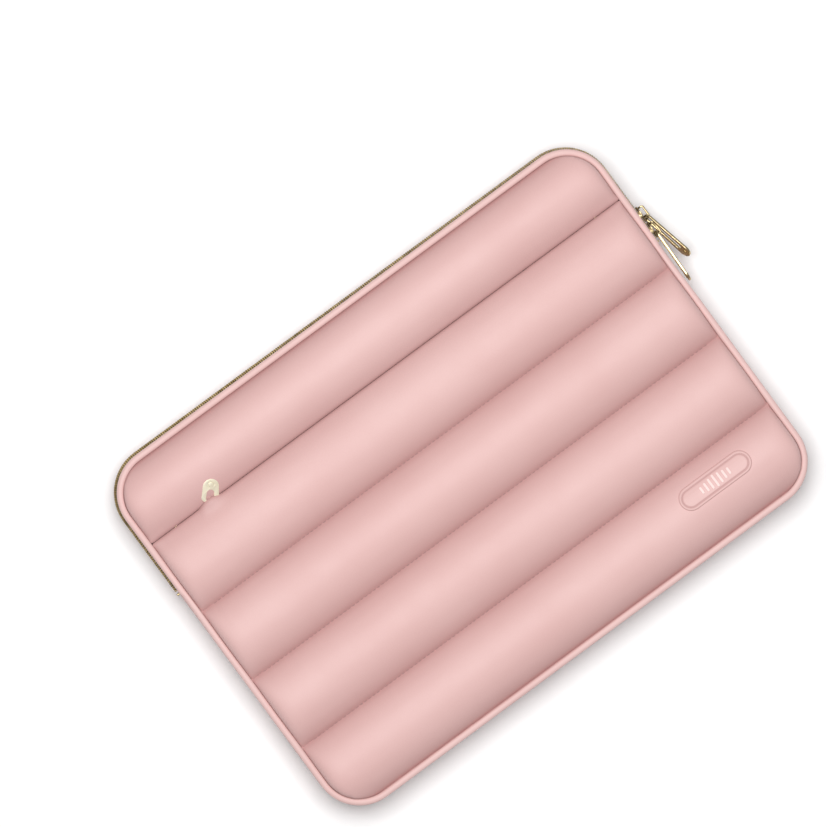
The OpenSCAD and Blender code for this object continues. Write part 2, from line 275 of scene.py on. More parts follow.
def makeWearGroup():
    # 1 on exposed edges, broken up by noise
    tree, start, end = newGroup(
        "edgeWear",
        [("Place", "NodeSocketVector", (0, 0, 0)), ("Amount", "NodeSocketFloat", 1.0),
         ("Patchiness", "NodeSocketFloat", 160.0)],
        [("Mask", "NodeSocketFloat")],
    )
    form = addNode(tree, "ShaderNodeNewGeometry")
    edgeFrom, edgeFull = 0.505, 0.6
    edge = stretchRange(tree, form.outputs["Pointiness"], edgeFrom, edgeFull)
    broken = noise(tree, start.outputs["Place"], start.outputs["Patchiness"], 4.0)
    spots = stretchRange(tree, broken.outputs["Fac"], 0.35, 0.7)
    mask = maths(tree, "MULTIPLY", maths(tree, "MULTIPLY", edge, spots), start.outputs["Amount"])
    tree.links.new(mask, end.inputs["Mask"])
    return tree


def makeDustGroup():
    # thin settled dust and handling marks
    tree, start, end = newGroup(
        "handling", [("Place", "NodeSocketVector", (0, 0, 0)), ("Scale", "NodeSocketFloat", 30.0)],
        [("Marks", "NodeSocketFloat")],
    )
    cloud = noise(tree, start.outputs["Place"], start.outputs["Scale"], 6.0, 0.65)
    marks = stretchRange(tree, cloud.outputs["Fac"], 0.35, 0.75)
    tree.links.new(marks, end.inputs["Marks"])
    return tree


fineGrain = makeGrainGroup()
threadWeave = makeWeaveGroup()
edgeWear = makeWearGroup()
handling = makeDustGroup()
print("shared effects made")


def newFinish(name):
    material = bpy.data.materials.new(name)
    material.use_nodes = True
    tree = material.node_tree
    shader = tree.nodes["Principled BSDF"]
    place = addNode(tree, "ShaderNodeTexCoord")
    return material, tree, shader, place


def useGroup(tree, group, inputs):
    node = tree.nodes.new("ShaderNodeGroup")
    node.node_tree = group
    for key, value in inputs.items():
        if isinstance(value, bpy.types.NodeSocket):
            tree.links.new(value, node.inputs[key])
        else:
            node.inputs[key].default_value = value
    return node


def blendColours(tree, share, a, b):
    node = addNode(tree, "ShaderNodeMix", {0: share}, data_type="RGBA")
    for index, colour in ((6, a), (7, b)):
        if isinstance(colour, bpy.types.NodeSocket):
            tree.links.new(colour, node.inputs[index])
        else:
            node.inputs[index].default_value = (*colour, 1)
    return node.outputs[2]


leatherLook = {
    "light": (0.735, 0.484, 0.463),
    "shade": (0.690, 0.430, 0.410),
    # the colour of the painted shade in the seams, along the rim and in the patch's groove
    "paintedShade": (0.470, 0.262, 0.252),
    "roughness": 0.52,
    "grain": 0.62,
    "grainDepth": 0.10,
}


def makeLeather(name, look, paintedShadeOn):
    material, tree, shader, place = newFinish(name)
    grain = useGroup(tree, fineGrain, {"Place": place.outputs["Object"], "Size": look["grain"]})
    marks = useGroup(tree, handling, {"Place": place.outputs["Object"], "Scale": 24.0})
    tone = stretchRange(tree, grain.outputs["Tone"], 0.25, 0.8)
    colour = blendColours(tree, tone, look["shade"], look["light"])
    # painted shade: the colour darkens towards the painted-shade tone where the mesh's attribute marks shade
    # in seams and grooves
    if paintedShadeOn:
        paintedShadeAmount = addNode(tree, "ShaderNodeAttribute", attribute_name="paintedShade")
        depth = maths(tree, "MULTIPLY", paintedShadeAmount.outputs["Fac"], 0.8)
        colour = blendColours(tree, depth, colour, look["paintedShade"])
    tree.links.new(colour, shader.inputs["Base Color"])
    rough = maths(tree, "MULTIPLY_ADD", marks.outputs["Marks"], 0.10, look["roughness"] - 0.05)
    tree.links.new(rough, shader.inputs["Roughness"])
    bumpInto(tree, shader, grain.outputs["Height"], look["grainDepth"], 0.4 * mm)
    shader.inputs["Specular IOR Level"].default_value = 0.35
    shader.inputs["Sheen Weight"].default_value = 0.08
    return material


clothLook = {"thread": (0.56, 0.36, 0.34), "gap": (0.30, 0.17, 0.16), "pitch": 0.55}


def makeCloth(name, look, onMap, lift=0.35):
    material, tree, shader, place = newFinish(name)
    source = place.outputs["UV" if onMap else "Object"]
    weave = useGroup(tree, threadWeave, {"Place": source, "Pitch": look["pitch"]})
    marks = useGroup(tree, handling, {"Place": place.outputs["Object"], "Scale": 60.0})
    thread = blendColours(tree, marks.outputs["Marks"], look["thread"], [c * 0.88 for c in look["thread"]])
    colour = blendColours(tree, weave.outputs["Gaps"], thread, look["gap"])
    tree.links.new(colour, shader.inputs["Base Color"])
    bumpInto(tree, shader, weave.outputs["Height"], lift, 0.3 * mm)
    rough = maths(tree, "MULTIPLY_ADD", marks.outputs["Marks"], 0.1, 0.78)
    tree.links.new(rough, shader.inputs["Roughness"])
    shader.inputs["Sheen Weight"].default_value = 0.3
    return material


goldLook = {"bright": (0.68, 0.56, 0.33), "deep": (0.42, 0.32, 0.16), "roughness": 0.26, "metallic": 1.0}


def makeGold(name, look, brushed=0.0):
    material, tree, shader, place = newFinish(name)
    worn = useGroup(tree, edgeWear, {"Place": place.outputs["Object"], "Amount": 0.8})
    marks = useGroup(tree, handling, {"Place": place.outputs["Object"], "Scale": 240.0})
    colour = blendColours(tree, marks.outputs["Marks"], look["bright"], look["deep"])
    rubbed = [min(1, c * 1.12 + 0.06) for c in look["bright"]]
    colour = blendColours(tree, worn.outputs["Mask"], colour, rubbed)
    tree.links.new(colour, shader.inputs["Base Color"])
    shader.inputs["Metallic"].default_value = look["metallic"]
    rough = maths(tree, "MULTIPLY_ADD", marks.outputs["Marks"], 0.16, look["roughness"])
    tree.links.new(rough, shader.inputs["Roughness"])
    scratch = noise(tree, place.outputs["Object"], 2200.0, 3.0)
    bumpInto(tree, shader, scratch.outputs["Fac"], 0.06 + brushed, 0.1 * mm)
    return material


def makeFoam():
    material, tree, shader, place = newFinish("greyFoam")
    cells = addNode(tree, "ShaderNodeTexVoronoi", {"Vector": place.outputs["Object"], "Scale": 1600.0})
    marks = useGroup(tree, handling, {"Place": place.outputs["Object"], "Scale": 40.0})
    shade = maths(tree, "MULTIPLY_ADD", marks.outputs["Marks"], 0.25, cells.outputs["Distance"])
    colour = blendColours(tree, shade, (0.46, 0.45, 0.45), (0.66, 0.65, 0.64))
    tree.links.new(colour, shader.inputs["Base Color"])
    bumpInto(tree, shader, cells.outputs["Distance"], 0.5, 0.4 * mm)
    shader.inputs["Roughness"].default_value = 0.92
    return material


def makeBrushedLining():
    # short brushed pile, softer than the tapes
    material, tree, shader, place = newFinish("brushedLining")
    pile = noise(tree, place.outputs["Object"], 1500.0, 5.0, 0.7)
    marks = useGroup(tree, handling, {"Place": place.outputs["Object"], "Scale": 18.0})
    fibres = maths(tree, "MULTIPLY", pile.outputs["Fac"], 0.6)
    share = maths(tree, "MULTIPLY_ADD", marks.outputs["Marks"], 0.5, fibres)
    colour = blendColours(tree, share, (0.50, 0.32, 0.31), (0.70, 0.49, 0.47))
    tree.links.new(colour, shader.inputs["Base Color"])
    bumpInto(tree, shader, pile.outputs["Fac"], 0.5, 0.4 * mm)
    shader.inputs["Roughness"].default_value = 0.95
    shader.inputs["Sheen Weight"].default_value = 0.5
    return material


weltLook = {**leatherLook, "light": (0.750, 0.515, 0.490), "shade": (0.700, 0.460, 0.438), "grain": 0.5}
gussetLook = {**leatherLook, "grain": 0.7, "roughness": 0.58}
patchLook = {
    **leatherLook, "light": (0.690, 0.447, 0.425), "grain": 0.4, "roughness": 0.46, "grainDepth": 0.06,
}
barLook = {**leatherLook, "light": (0.88, 0.70, 0.67), "shade": (0.84, 0.64, 0.61), "grain": 0.3}
threadLook = {"thread": (0.50, 0.29, 0.28), "gap": (0.34, 0.19, 0.18), "pitch": 0.3}
teethLook = {**goldLook, "bright": (0.34, 0.25, 0.11), "deep": (0.13, 0.09, 0.035), "roughness": 0.5}
sliderLook = {**goldLook, "bright": (0.50, 0.40, 0.22), "deep": (0.24, 0.17, 0.08), "roughness": 0.32}
pocketLook = {"bright": (0.96, 0.89, 0.70), "deep": (0.88, 0.78, 0.56), "roughness": 0.4, "metallic": 0.4}

pinkLeather = makeLeather("pinkLeather", leatherLook, True)
weltLeather = makeLeather("weltLeather", weltLook, False)
gussetLeather = makeLeather("gussetLeather", gussetLook, False)
patchLeather = makeLeather("patchLeather", patchLook, True)
barFoil = makeLeather("barFoil", barLook, False)
tapeCloth = makeCloth("tapeCloth", clothLook, True)
flatTape = makeCloth("pocketTapeCloth", clothLook, False)
threadCloth = makeCloth("sewingThread", threadLook, False)
pullGold = makeGold("pullGold", goldLook)
teethGold = makeGold("teethGold", teethLook, 0.05)
sliderGold = makeGold("sliderGold", sliderLook)
pocketGold = makeGold("pocketGold", pocketLook)
foamGrey = makeFoam()
liningCloth = makeBrushedLining()
print("finishes made")


# The quilted panels: closed cushions, one arch for each roll.

quilting = {
    "archRadius": 0.62,       # of a roll's width; smaller makes rounder rolls
    "endRun": 13 * mm,        # how far in from the edge the rolls start to fall away
    "endShare": 0.50,         # how much of a roll's height is left at its very end
    "edgeInset": 3.8 * mm,    # from the outline's outer face to the panel's edge
    "rowsPerRoll": 16,
    "rowCrowding": 0.55,      # rows crowd towards the seams, columns towards the sides
    "columns": 92,
    "columnCrowding": 0.30,
    "pressure": 4.0,
    "swell": 0.7 * mm,        # the most that the stuffing may push a point
    "pucker": 0.14 * mm,
    "puckerFrom": 1.2 * mm,
    "puckerRun": 6 * mm,
    "seamDip": 0.5 * mm,
    "dipRun": 0.7 * mm,
    "pressSoft": 0.5 * mm,    # how gently a roll flattens on what it lies on
    "narrowShadeShare": 0.4,       # the darkest painted shade, right in a seam, and how far it reaches
    "narrowShadeRun": 1.2 * mm,
    "shadeShare": 0.68,       # the softer, wider painted shade beside a seam
    "shadeRun": 9 * mm,
    "shadePower": 1.3,
    "rimShadeShare": 0.2,          # the painted shade along the rim
    "fill": 0.8,
    "lipUnder": 31.7 * mm,    # underside of the two lips that close over the pocket's zip
    "lipTop": 32.4 * mm,
    "lipRun": 2.9 * mm,
}


def seamBetween(upper, lower):
    return (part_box(upper)[0].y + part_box(lower)[1].y) / 2


def rollArch(t):
    r = quilting["archRadius"]
    low = math.sqrt(r * r - 0.25)
    return (np.sqrt(np.maximum(r * r - (t - 0.5) ** 2, 0)) - low) / (r - low)


def nearestSeam(y, seams):
    return np.min(np.abs(y[:, None] - np.array(seams)[None, :]), axis=1)


def quiltHeight(co, seams):
    # 0 in a seam and 1 on a roll's crest
    edges = np.array(seams)
    index = np.clip(np.searchsorted(edges, co[:, 1], side="right") - 1, 0, len(edges) - 2)
    t = np.clip((co[:, 1] - edges[index]) / (edges[index + 1] - edges[index]), 0, 1)
    depth = np.clip((inset(co) - quilting["edgeInset"]) / quilting["endRun"], 0, 1)
    # the outermost rolls end in their own arch, so mostly the sides fall away there
    sideShare, fallPower = 0.35, 2.4
    farEdge = 100 * mm
    sideDepth = outline["halfWide"] - np.abs(co[:, 0]) - quilting["edgeInset"]
    side = np.clip(sideDepth / quilting["endRun"], 0, 1)
    outer = (co[:, 1] > edges[-2]) & (edges[-1] > farEdge) | (co[:, 1] < edges[1]) & (edges[0] < -farEdge)
    mixed = np.maximum(depth, side * sideShare + depth * (1 - sideShare))
    depth = np.where(outer & (side > depth), mixed, depth)
    fall = quilting["endShare"] + (1 - quilting["endShare"]) * np.sqrt(1 - (1 - depth) ** fallPower)
    return rollArch(t) * fall


def roundCorners(co, halfX, halfY, radius, top, bottom):
    # the corners' squares turn into quarter circles
    u = np.abs(co[:, 0]) - (halfX - radius)
    v = np.abs(co[:, 1]) - (halfY - radius)
    inside = (u > 0) & (v > 0) & (((co[:, 1] > 0) & top) | ((co[:, 1] < 0) & bottom))
    scale = np.where(inside, np.maximum(u, v) / np.maximum(np.hypot(u, v), 1e-12), 1)
    co[:, 0] = np.where(inside, np.sign(co[:, 0]) * (halfX - radius + u * scale), co[:, 0])
    co[:, 1] = np.where(inside, np.sign(co[:, 1]) * (halfY - radius + v * scale), co[:, 1])
    return co


clothSettings = {"tension_stiffness": 12, "compression_stiffness": 12, "bending_stiffness": 0.4, "mass": 0.02}
clothSteps = 20


def stuff(panel, pinned):
    # the cloth swells under pressure between its sewn lines
    before = points(panel)
    group = panel.vertex_groups.new(name="sewn")
    group.add([int(i) for i in np.flatnonzero(pinned)], 1.0, "REPLACE")
    pickOnly(panel)
    cloth = panel.modifiers.new("Cloth", "CLOTH")
    cloth.settings.use_pressure = True
    cloth.settings.uniform_pressure_force = quilting["pressure"]
    cloth.settings.effector_weights.gravity = 0
    cloth.settings.vertex_group_mass = "sewn"
    for key, value in clothSettings.items():
        setattr(cloth.settings, key, value)
    cloth.collision_settings.use_collision = False
    cloth.point_cache.frame_start = 1
    cloth.point_cache.frame_end = clothSteps
    for step in range(1, clothSteps + 1):
        bpy.context.scene.frame_set(step)
    bpy.ops.object.modifier_apply(modifier=cloth.name)
    bpy.context.scene.frame_set(1)
    move = points(panel) - before
    length = np.linalg.norm(move, axis=1, keepdims=True)
    print(panel.name, "swelled by up to", round(float(length.max()) * 1000, 2), "mm")
    movePoints(panel, before + move * np.minimum(1, quilting["swell"] / np.maximum(length, 1e-9)))
    panel.vertex_groups.clear()


def makeQuilt(name, seams, baseZ, valleyZ, crestZ, layZ=None, lipY=None):
    # seams run from the lowest to the highest, and the panel's own edges count
    q = quilting
    rolls = len(seams) - 1
    halfX = outline["halfWide"] - q["edgeInset"]
    halfY = outline["halfTall"] - q["edgeInset"]
    reachesTop, reachesBottom = abs(seams[-1] - halfY) < mm, abs(seams[0] + halfY) < mm
    pickNothing()
    rows = rolls * q["rowsPerRoll"]
    bpy.ops.mesh.primitive_grid_add(x_subdivisions=q["columns"], y_subdivisions=rows, size=2)
    panel = settle(bpy.context.object, name)
    co = points(panel)
    row = np.clip((co[:, 1] + 1) / 2 * rolls, 0, rolls - 1e-9)
    index = np.floor(row + 1e-6).clip(0, rolls - 1).astype(int)
    t = row - index
    t = t - q["rowCrowding"] * np.sin(2 * math.pi * t) / (2 * math.pi)
    low, high = np.array(seams)[index], np.array(seams)[index + 1]
    co[:, 0] = halfX * (co[:, 0] + q["columnCrowding"] * np.sin(math.pi * co[:, 0]) / math.pi)
    co[:, 1] = low + (high - low) * t
    co[:, 2] = baseZ
    radius = outline["cornerRadius"] - q["edgeInset"]
    movePoints(panel, roundCorners(co, halfX, halfY, radius, reachesTop, reachesBottom))
    editPoints(panel)
    bpy.ops.mesh.extrude_region_move(TRANSFORM_OT_translate={"value": (0, 0, valleyZ - baseZ)})
    leaveEdit()
    co = points(panel)
    up = np.abs(co[:, 2] - valleyZ) < 1e-6
    height = quiltHeight(co[up], seams)
    co[up, 2] = valleyZ + (crestZ - valleyZ) * height
    if lipY is not None:
        # a thin lip lies over the zip, and the filling starts behind it
        near = np.abs(co[:, 1] - lipY)
        lift = (q["lipTop"] - valleyZ) * np.clip(1 - near / (2 * q["lipRun"]), 0, 1) ** 1.5
        co[:, 2] = np.where(up, co[:, 2] + lift, np.where(near < q["lipRun"], q["lipUnder"], co[:, 2]))
    movePoints(panel, co)
    # sewn lines and the rim hold still while the rest swells
    pinned = ~up
    sewn = nearestSeam(co[:, 1], seams) < 0.25 * mm
    rim = inset(co) < q["edgeInset"] + 0.3 * mm
    pinned |= sewn | rim
    stuff(panel, pinned)
    addAndApply(panel, "SUBSURF", levels=1, render_levels=1)
    shapeSeamsAndPaintShade(panel, seams, valleyZ, crestZ, layZ)
    smoothFaces(panel, 60)
    return panel


def shapeSeamsAndPaintShade(panel, seams, valleyZ, crestZ, layZ):
    q = quilting
    co = points(panel)
    sign = 1 if crestZ > valleyZ else -1
    away = nearestSeam(co[:, 1], seams)
    upper = sign * (co[:, 2] - valleyZ) > -0.2 * mm
    x, y = co[:, 0] / mm, co[:, 1]
    order = np.argmin(np.abs(y[:, None] - np.array(seams)[None, :]), axis=1)
    wave = np.zeros(len(co))
    for length, weight in ((5.3, 0.6), (7.9, 0.9), (12.7, 0.8), (3.9, 0.35)):
        wave += weight * np.sin(2 * math.pi * x / length + order * 1.7 * length + 0.4 * np.sign(y) * length)
    near = np.exp(-away / q["puckerRun"]) * (1 - np.exp(-away / q["puckerFrom"]))
    dip = np.exp(-((away / q["dipRun"]) ** 2))
    shape = q["pucker"] * wave * near - q["seamDip"] * dip
    co[:, 2] += sign * np.where(upper, shape, 0)
    if layZ is not None:
        # the rolls press flat on what they lie on
        soft = q["pressSoft"]
        gap = sign * (layZ - co[:, 2])
        co[:, 2] = np.where(upper, layZ - sign * soft * np.logaddexp(0, gap / soft), co[:, 2])
    movePoints(panel, co)
    # painted shade: a darker colour mask in and beside each seam and along the rim, where shade falls between
    # the rolls
    paintedShadeAmount = q["narrowShadeShare"] * np.exp(-away / q["narrowShadeRun"])
    paintedShadeAmount += q["shadeShare"] * np.exp(-((away / q["shadeRun"]) ** q["shadePower"]))
    paintedShadeAmount += q["rimShadeShare"] * np.exp(-np.abs(inset(co) - q["edgeInset"]) / q["narrowShadeRun"])
    mark = panel.data.attributes.new("paintedShade", "FLOAT", "POINT")
    mark.data.foreach_set("value", np.clip(paintedShadeAmount, 0, 1).astype(np.float32))


panelTop = outline["halfTall"] - quilting["edgeInset"]
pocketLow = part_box("front_skin_pocket")[0]
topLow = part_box("front_skin_top")[0]
backLow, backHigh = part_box("back_skin")
frontSeams = [seamBetween(f"front_wadding_{n}", f"front_wadding_{n + 1}") for n in (4, 3, 2)]
pocketSeamY = (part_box("pocket_zip_tapes")[0].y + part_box("pocket_zip_tapes")[1].y) / 2
frontValley, frontCrest = 30.1 * mm, 40.7 * mm
backSeams = [seamBetween(f"back_wadding_{n}", f"back_wadding_{n + 1}") for n in (4, 3, 2, 1)]

halfGap = 0.01 * mm
pocketPanel = makeQuilt(
    "quiltedPocket", [-panelTop, *frontSeams, pocketSeamY - halfGap], pocketLow.z - 0.3 * mm, frontValley,
    frontCrest, lipY=pocketSeamY,
)
hood = {"wide": 7.6 * mm, "sidePower": 2.6, "run": 3.8 * mm, "rise": 2.7 * mm, "overhang": 2.0 * mm}


def addHood(panel, place):
    # the zip's slider lifts the lip and pushes it over its crown
    co = points(panel)
    side = np.exp(-((np.abs(co[:, 0] - place.x) / hood["wide"]) ** hood["sidePower"]))
    back = np.exp(-((np.clip(pocketSeamY - co[:, 1], 0, None) / hood["run"]) ** 2))
    lip = side * back * (co[:, 2] > quilting["lipUnder"] - 0.6 * mm)
    co[:, 1] += hood["overhang"] * lip ** 2
    co[:, 2] += hood["rise"] * lip
    movePoints(panel, co)


sliderLow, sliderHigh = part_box("pocket_slider")
addHood(pocketPanel, (sliderLow + sliderHigh) / 2)
wear(pocketPanel, pinkLeather)
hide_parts("front_skin_pocket", *[f"front_wadding_{n}" for n in (2, 3, 4, 5)])
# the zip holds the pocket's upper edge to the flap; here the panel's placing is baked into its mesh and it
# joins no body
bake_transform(pocketPanel)

topPanel = makeQuilt(
    "quiltedTopRoll", [pocketSeamY + halfGap, panelTop], topLow.z + 0.6 * mm, frontValley,
    frontCrest - 0.2 * mm, lipY=pocketSeamY,
)
wear(topPanel, pinkLeather)
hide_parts("front_skin_top", "front_wadding_1")
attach(topPanel, "mouth_flap")

backValley, backCrest = 6.6 * mm, -1.2 * mm
backPanel = makeQuilt(
    "quiltedBack", [-panelTop, *backSeams, panelTop], backHigh.z, backValley, backCrest, layZ=backLow.z,
)
wear(backPanel, pinkLeather)
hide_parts("back_skin", *[f"back_wadding_{n}" for n in range(1, 6)])
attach(backPanel, "sleeve")
print("quilted panels made")


# Sewing thread along the seams, one stitch modelled and repeated.

stitching = {"pitch": 3.0 * mm, "length": 2.3 * mm, "thick": 0.3 * mm, "arch": 0.16 * mm, "stopShort": 7 * mm}


def seamFloor(panel, lineY, top=True):
    co = points(panel)
    near = (np.abs(co[:, 1] - lineY) < 0.5 * mm) & (np.abs(co[:, 0]) < 140 * mm)
    z = co[near, 2]
    middle = (z.min() + z.max()) / 2
    return float(z[z > middle].min() if top else z[z < middle].max())


def stitchRow(name, panel, lineY, body, front=True):
    s = stitching
    sign = 1 if front else -1
    lineZ = seamFloor(panel, lineY, front) + sign * 0.05 * mm
    halfX = outline["halfWide"] - quilting["edgeInset"] - s["stopShort"]
    count = int(2 * halfX / s["pitch"])
    startX = -(count - 1) / 2 * s["pitch"]
    pickNothing()
    bpy.ops.mesh.primitive_cylinder_add(
        vertices=6, radius=s["thick"], depth=s["length"], rotation=(0, math.pi / 2, 0),
        location=(startX, lineY, lineZ),
    )
    stitch = settle(bpy.context.object, name)
    editPoints(stitch)
    bpy.ops.mesh.bisect(plane_co=(startX, 0, 0), plane_no=(1, 0, 0))
    leaveEdit(False)
    editPoints(stitch, lambda co: np.abs(co[:, 0] - startX) < 0.1 * mm)
    bpy.ops.transform.translate(value=(0, 0, sign * s["arch"]))
    leaveEdit(False)
    editPoints(stitch, lambda co: np.abs(co[:, 0] - startX) > 1 * mm)
    bpy.ops.transform.resize(value=(1, 0.55, 0.55), center_override=(startX, lineY, lineZ - sign * 0.1 * mm))
    leaveEdit()
    repeatAlongX(stitch, count, s["pitch"])
    smoothFaces(stitch, 50)
    wear(stitch, threadCloth)
    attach(stitch, body)
    return stitch


for number, lineY in zip((4, 3, 2), frontSeams):
    stitchRow(f"stitchesFront{number}", pocketPanel, lineY, "sleeve")
for number, lineY in zip((4, 3, 2, 1), backSeams):
    stitchRow(f"stitchesBack{number}", backPanel, lineY, "sleeve", front=False)
print("seams stitched")


# Everything that runs round the edge follows one rounded outline.

def outlinePlate(depth, z, corners=16):
    pickNothing()
    bpy.ops.mesh.primitive_plane_add(size=2, location=(0, 0, z))
    plate = bpy.context.object
    plate.scale = (outline["halfWide"] - depth, outline["halfTall"] - depth, 1)
    settle(plate)
    editPoints(plate)
    radius = outline["cornerRadius"] - depth
    bpy.ops.mesh.bevel(offset=radius, segments=corners, affect="VERTICES", profile=0.5)
    leaveEdit()
    return plate


def outlineRing(name, outer, inner, lowZ, highZ):
    ring = outlinePlate(outer, lowZ)
    editPoints(ring)
    bpy.ops.mesh.inset(thickness=inner - outer)
    bpy.ops.mesh.delete(type="FACE")
    bpy.ops.mesh.select_all(action="SELECT")
    bpy.ops.mesh.extrude_region_move(TRANSFORM_OT_translate={"value": (0, 0, highZ - lowZ)})
    leaveEdit()
    return settle(ring, name)


def cutAway(piece, lineY, keepAbove):
    editPoints(piece)
    bpy.ops.mesh.bisect(
        plane_co=(0, lineY, 0), plane_no=(0, 1, 0), use_fill=True, clear_inner=keepAbove,
        clear_outer=not keepAbove,
    )
    leaveEdit()


def addCuts(piece, lines, axis=1):
    normal = [0, 0, 0]
    normal[axis] = 1
    for line in lines:
        place = [0, 0, 0]
        place[axis] = line
        editPoints(piece)
        bpy.ops.mesh.bisect(plane_co=place, plane_no=normal)
        leaveEdit(False)


def bendLines():
    low, high = bendStart[1] - 2 * mm, bendEnd[1] + 2 * mm
    return np.linspace(low, high, 13)


def mapAlongOutline(piece):
    # a flat map: u runs along the outline from the top's middle, v across the strip
    mesh = piece.data
    co = points(piece)
    r = outline["cornerRadius"]
    sideX, sideY = outline["halfWide"] - r, outline["halfTall"] - r
    x, y = np.abs(co[:, 0]), co[:, 1]
    angle = np.arctan2(np.maximum(x - sideX, 1e-9), np.maximum(np.abs(y) - sideY, 0))
    top = np.where(x <= sideX, x, sideX + r * angle)
    side = sideX + r * math.pi / 2 + (sideY - y)
    bottom = sideX + r * math.pi / 2 + 2 * sideY + r * (math.pi / 2 - angle) + np.maximum(sideX - x, 0)
    along = np.where(y >= sideY, top, np.where(y <= -sideY, bottom, side))
    mapped = np.stack([along * np.sign(co[:, 0]), co[:, 2] + inset(co)], axis=1)
    layer = mesh.uv_layers.new(name="alongOutline")
    corner = np.empty(len(mesh.loops), dtype=np.int32)
    mesh.loops.foreach_get("vertex_index", corner)
    layer.data.foreach_set("uv", mapped[corner].astype(np.float32).ravel())


welt = {
    "outer": 0.0, "inner": 3.9 * mm, "rounding": 1.5 * mm, "segments": 4, "step": 0.35 * mm,
    "stepRun": 0.6 * mm,
}


def makeWelt(name, source):
    low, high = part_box(source)
    piece = outlineRing(name, welt["outer"], welt["inner"], low.z, high.z)
    zipEnd, stepRun = outline["zipEnd"], welt["stepRun"]
    addCuts(piece, [*np.arange(-90, 91, 15) * mm, zipEnd, zipEnd - stepRun])
    addCuts(piece, np.arange(-140, 141, 14) * mm, axis=0)
    bevelEdges(piece, welt["rounding"], welt["segments"], 50)
    # slight unevenness, as cord and cloth have when sewn round an edge
    co = points(piece)
    sway = np.sin(co[:, 0] * 171 + co[:, 1] * 143) * 0.07 * mm
    sway += np.sin(co[:, 0] * 397 - co[:, 1] * 311) * 0.04 * mm
    co[:, 2] += np.where(co[:, 2] > (low.z + high.z) / 2, sway, 0)
    # below the zip's end the side lies a step further in, where the two lengths of welt join
    below = np.clip((zipEnd - co[:, 1]) / stepRun, 0, 1)
    onSide = (np.abs(co[:, 0]) > outline["halfWide"] - 3 * mm) & (co[:, 1] > 0)
    fade = np.clip(co[:, 1] / (30 * mm), 0, 1)
    co[:, 0] -= np.sign(co[:, 0]) * np.where(onSide, welt["step"] * below * fade, 0)
    movePoints(piece, co)
    mapAlongOutline(piece)
    smoothFaces(piece, 40)
    return wear(piece, weltLeather)


weltBack = makeWelt("weltBack", "piping_back")
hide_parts("piping_back")
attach(weltBack, "sleeve")
weltFront = makeWelt("weltFront", "piping_front_lower")
addCuts(weltFront, bendLines())
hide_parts("piping_front_lower", "piping_front_top")
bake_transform(weltFront)


def makeStrip(name, source, outer, inner, finish, lowY=None, highY=None, rounding=0.2 * mm):
    low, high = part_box(source)
    piece = outlineRing(name, outer, inner, low.z, high.z)
    if lowY is not None:
        cutAway(piece, lowY, True)
    if highY is not None:
        cutAway(piece, highY, False)
    bevelEdges(piece, rounding, 2, 50)
    mapAlongOutline(piece)
    smoothFaces(piece, 40)
    return wear(piece, finish)


gussetTop = gussetHigh.y
gussetThick = 2.2 * mm
gusset = makeStrip(
    "gussetStrip", "gusset_strip", 0, gussetThick, gussetLeather, highY=gussetTop,
    rounding=0.5 * mm,
)
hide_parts("gusset_strip")
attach(gusset, "sleeve")
liningFrom, liningTo = 2.3 * mm, 2.9 * mm
gussetLining = makeStrip(
    "gussetLining", "gusset_lining", liningFrom, liningTo, liningCloth, highY=gussetTop,
)
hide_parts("gusset_lining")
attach(gussetLining, "sleeve")

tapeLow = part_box("zip_tape_back")[0].y
tapeFrom, tapeTo = 0.8 * mm, 1.6 * mm
tapeBack = makeStrip("zipTapeBack", "zip_tape_back", tapeFrom, tapeTo, tapeCloth, lowY=tapeLow)
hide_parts("zip_tape_back")
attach(tapeBack, "sleeve")
tapeFront = makeStrip(
    "zipTapeFront", "zip_tape_front_top", tapeFrom, tapeTo, tapeCloth, lowY=tapeLow,
)
addCuts(tapeFront, bendLines())
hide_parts("zip_tape_front_top", "zip_tape_front_sides")
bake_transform(tapeFront)
print("edge strips made")


# Zip teeth: one tooth modelled, repeated and laid along the outline.

teeth = {"pitch": 1.35 * mm, "thick": 0.85 * mm, "head": 0.4 * mm}


def zipPath(lowY):
    r, wide, tall = outline["cornerRadius"], outline["halfWide"], outline["halfTall"]
    turn = np.linspace(0, math.pi / 2, 14)
    route = [(wide, lowY)]
    route += [(wide - r + r * math.cos(a), tall - r + r * math.sin(a)) for a in turn]
    route += [(-(wide - r) - r * math.sin(a), tall - r + r * math.cos(a)) for a in turn]
    route += [(-wide, lowY)]
    curve = bpy.data.curves.new("zipPath", "CURVE")
    curve.dimensions = "2D"
    line = curve.splines.new("POLY")
    line.points.add(len(route) - 1)
    for point, place in zip(line.points, route):
        point.co = (*place, 0, 1)
    path = bpy.data.objects.new("zipPath", curve)
    bpy.context.collection.objects.link(path)
    length = sum(math.dist(a, b) for a, b in zip(route, route[1:]))
    return path, length


